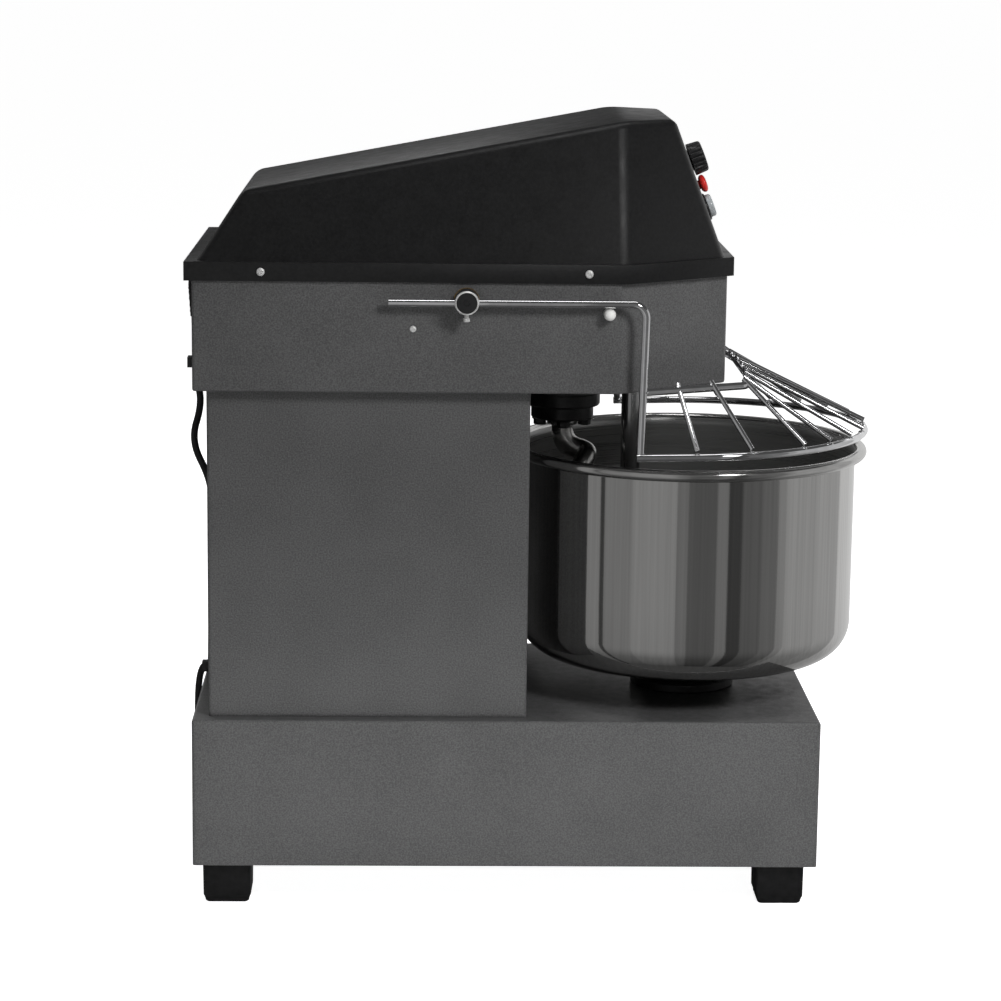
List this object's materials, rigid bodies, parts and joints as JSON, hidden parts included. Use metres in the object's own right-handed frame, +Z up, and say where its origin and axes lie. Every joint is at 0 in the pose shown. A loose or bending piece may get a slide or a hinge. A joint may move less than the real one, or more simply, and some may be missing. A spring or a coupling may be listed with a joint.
{
  "type": "dough mixer",
  "caption": "Spiral dough mixer: floor-standing column with a driven steel bowl, a spiral hook on an overhanging head, a breaker bar and a lifting wire guard.",
  "frame": {"origin": "on the floor, at the middle of the machine's outline without its mains lead", "axes": "+X to the front, where the bowl is; +Y to the machine's left; +Z up"},
  "size_m": [0.7352, 0.5192, 0.82],
  "materials": {
    "body_paint": "fine hammertone grey paint",
    "hood_plastic": "black textured moulding",
    "black_rubber": "moulded rubber",
    "cord_rubber": "matte cord jacket",
    "stainless": "polished stainless steel",
    "chromed": "bright chrome plating",
    "black_cast": "black painted casting",
    "steel": "machined steel",
    "zinc_steel": "zinc-plated steel",
    "motor_grey": "cast aluminium, painted grey",
    "black_plastic": "black moulding",
    "nylon_white": "natural nylon",
    "red_plastic": "red moulding",
    "grey_lens": "grey translucent cap",
    "label_silver": "satin silver plate",
    "bronze": "plain bearing bronze"
  },
  "bodies": {
    "machine": {"base_housing": "body_paint", "base_frame": "zinc_steel", "feet": "black_rubber", "foot_bolts": "zinc_steel", "column_shell": "body_paint", "column_front": "body_paint", "rear_cover": "body_paint", "head_housing": "body_paint", "hood": "hood_plastic", "control_plate": "label_silver", "timer_body": "black_plastic", "push_switches": "black_plastic", "cover_screws": "zinc_steel", "contactor_box": "black_plastic", "bowl_housing": "black_cast", "spiral_housing": "black_cast", "housing_bolts": "zinc_steel", "ball_bearings": "steel", "breaker_bar": "stainless", "motor_housing": "motor_grey", "motor_mount": "zinc_steel", "drive_belt": "black_rubber", "shaft_bearings": "black_cast", "spiral_chain": "steel", "idler_chain": "steel", "bowl_chain": "steel", "guard_bushes": "bronze", "guard_stops": "nylon_white", "interlock_switch": "black_plastic", "strain_relief": "black_rubber", "cord_holders": "black_plastic", "mains_cord": "cord_rubber", "mains_cord_coil": "cord_rubber", "mains_cord_tail": "cord_rubber", "cord_tie": "black_plastic", "mains_plug": "black_plastic"},
    "bowl": {"bowl_wall": "stainless", "bowl_base": "stainless", "bowl_rim": "stainless", "bowl_spindle": "steel", "bowl_screws": "stainless", "bowl_sprocket": "steel"},
    "spiral": {"spiral_hook": "stainless", "spiral_sprocket": "steel"},
    "drive_shaft": {"jack_shaft": "steel", "jack_pulley": "motor_grey", "jack_sprockets": "steel"},
    "motor": {"motor_rotor": "steel", "motor_pulley": "motor_grey"},
    "idler": {"idler_shaft": "steel", "idler_sprockets": "steel"},
    "guard": {"guard_arms": "chromed", "guard_hoop": "chromed", "guard_frame": "chromed", "guard_spokes": "chromed", "guard_shaft": "steel", "guard_hubs": "black_cast"},
    "timer_knob": {"timer_knob": "black_plastic"},
    "stop_button": {"stop_button": "red_plastic"},
    "start_button": {"start_button": "grey_lens"}
  },
  "joints": [
    {"name": "spiral_spin", "type": "hinge", "parent": "machine", "child": "spiral", "pos_m": [0.03645, 0, 0.3], "axis": [0, 0, 1], "continuous": true},
    {"name": "bowl_spin", "type": "hinge", "parent": "machine", "child": "bowl", "pos_m": [0.17195, 0, 0.3], "axis": [0, 0, 1], "continuous": true},
    {"name": "drive_shaft_spin", "type": "hinge", "parent": "machine", "child": "drive_shaft", "pos_m": [-0.08955, 0, 0.3], "axis": [0, 0, 1], "continuous": true},
    {"name": "motor_spin", "type": "hinge", "parent": "machine", "child": "motor", "pos_m": [-0.24655, 0, 0.3], "axis": [0, 0, 1], "continuous": true},
    {"name": "idler_spin", "type": "hinge", "parent": "machine", "child": "idler", "pos_m": [-0.21455, 0, 0.3], "axis": [0, 0, 1], "continuous": true},
    {"name": "guard_lift", "type": "hinge", "parent": "machine", "child": "guard", "pos_m": [-0.07035, 0, 0.641], "axis": [0, -1, 0], "range_deg": [0, 90]},
    {"name": "timer_knob_turn", "type": "hinge", "parent": "machine", "child": "timer_knob", "pos_m": [0.1765, 0, 0.7743], "axis": [0.9334, 0, 0.3588], "range_deg": [-330, 0]},
    {"name": "stop_button_push", "type": "slide", "parent": "machine", "child": "stop_button", "axis": [-0.9334, 0, -0.3588], "range_m": [0, 0.0028], "stiffness_N_per_m": 700, "springref_m": -0.003},
    {"name": "start_button_push", "type": "slide", "parent": "machine", "child": "start_button", "axis": [-0.9334, 0, -0.3588], "range_m": [0, 0.0028], "stiffness_N_per_m": 700, "springref_m": -0.003}
  ],
  "couplings": [
    {"joint": "drive_shaft_spin", "follows": "spiral_spin", "ratio": 1.75},
    {"joint": "motor_spin", "follows": "spiral_spin", "ratio": 7},
    {"joint": "idler_spin", "follows": "spiral_spin", "ratio": 0.55263},
    {"joint": "bowl_spin", "follows": "spiral_spin", "ratio": 0.11634}
  ]
}
